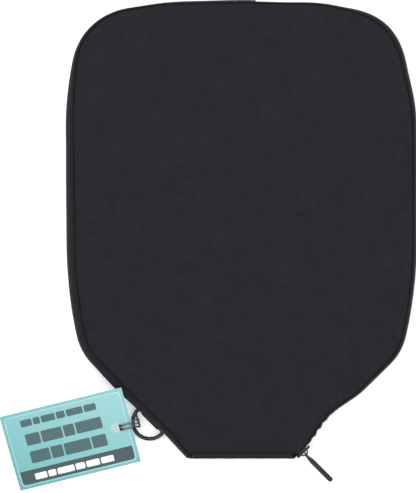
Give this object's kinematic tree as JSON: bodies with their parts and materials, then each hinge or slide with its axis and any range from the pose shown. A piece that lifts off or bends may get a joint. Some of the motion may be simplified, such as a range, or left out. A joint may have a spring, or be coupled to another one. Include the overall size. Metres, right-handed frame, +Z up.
{
  "type": "paddle case",
  "caption": "Zipped padded cover for a short-handled paddle, lying flat, with an open neck, a side zip and slider, a D-ring and a hang tag on an elastic loop.",
  "frame": {"origin": "on the surface that the cover lies on, under the middle of the padded body (half way between crown and neck, and between the side walls)", "axes": "+Y from the open neck to the crown, +Z up through the thickness with the front panel on top, +X to the zip side"},
  "size_m": [0.2733, 0.3227, 0.0209],
  "materials": {
    "outer_knit": "matte near-black knit",
    "foam": "closed-cell foam",
    "lining": "smooth woven lining",
    "binding": "ribbed binding tape",
    "zip_tape": "woven zip tape",
    "zip_coil": "moulded coil",
    "zip_metal": "black enamelled zip hardware",
    "pull_rubber": "matte moulded grip",
    "webbing": "narrow ribbed webbing",
    "ring_metal": "black nickel wire, satin",
    "elastic_cord": "grey covered elastic",
    "barb_metal": "plain crimped barb",
    "tag_card": "coated card, printed pale teal"
  },
  "bodies": {
    "cover": {"back_panel": "outer_knit", "back_padding": "foam", "back_lining": "lining", "front_panel": "outer_knit", "front_padding": "foam", "front_lining": "lining", "back_neck_hem": "outer_knit", "back_seam_binding": "binding", "front_seam_binding": "binding", "side_gusset": "outer_knit", "gusset_lining": "lining", "zip_end_tab": "outer_knit", "back_zip_tape": "zip_tape", "front_zip_tape": "zip_tape", "back_zip_coil": "zip_coil", "front_zip_coil": "zip_coil", "zip_bottom_stop": "zip_metal", "back_top_stop": "zip_metal", "ring_loop": "webbing"},
    "neck_flap": {"flap_panel": "outer_knit", "flap_padding": "foam", "flap_lining": "lining", "front_neck_hem": "outer_knit", "flap_seam_binding": "binding", "flap_zip_tape": "zip_tape", "flap_zip_coil": "zip_coil", "front_top_stop": "zip_metal"},
    "slider": {"slider_body": "zip_metal", "slider_bridge": "zip_metal"},
    "pull": {"pull_eye": "zip_metal", "pull_grip": "pull_rubber"},
    "ring": {"d_ring": "ring_metal"},
    "loop": {"tag_loop": "elastic_cord", "loop_barb": "barb_metal"},
    "tag": {"hang_tag": "tag_card"}
  },
  "joints": [
    {"name": "zip_slide", "type": "slide", "parent": "cover", "child": "slider", "axis": [0.7133, 0.7009, 0], "range_m": [0, 0.07], "deforming": ["back_zip_coil", "front_zip_coil", "flap_zip_coil"]},
    {"name": "flap_fold", "type": "hinge", "parent": "cover", "child": "neck_flap", "pos_m": [-0.03594, -0.15, 0.02], "axis": [-0.9254, -0.379, 0], "range_deg": [0, 98]},
    {"name": "pull_swing", "type": "hinge", "parent": "slider", "child": "pull", "pos_m": [0.04215, -0.14705, 0.01], "axis": [0, 0, 1], "range_deg": [-70, 70]},
    {"name": "ring_swing", "type": "hinge", "parent": "cover", "child": "ring", "pos_m": [-0.05899, -0.12595, 0.00185], "axis": [-0.7133, 0.7009, 0], "range_deg": [0, 15]},
    {"name": "loop_swing", "type": "hinge", "parent": "ring", "child": "loop", "pos_m": [-0.07096, -0.12809, 0.00298], "axis": [0.7133, -0.7009, 0], "range_deg": [0, 15]},
    {"name": "tag_swing", "type": "hinge", "parent": "loop", "child": "tag", "pos_m": [-0.07942, -0.13087, 0.0104], "axis": [-0.2196, 0.9008, 0.3746], "range_deg": [0, 15]}
  ],
  "couplings": [
    {"joint": "flap_fold", "follows": "zip_slide", "rad_per_m": 24.435},
    {"joint": "loop_swing", "follows": "ring_swing", "ratio": 1}
  ]
}
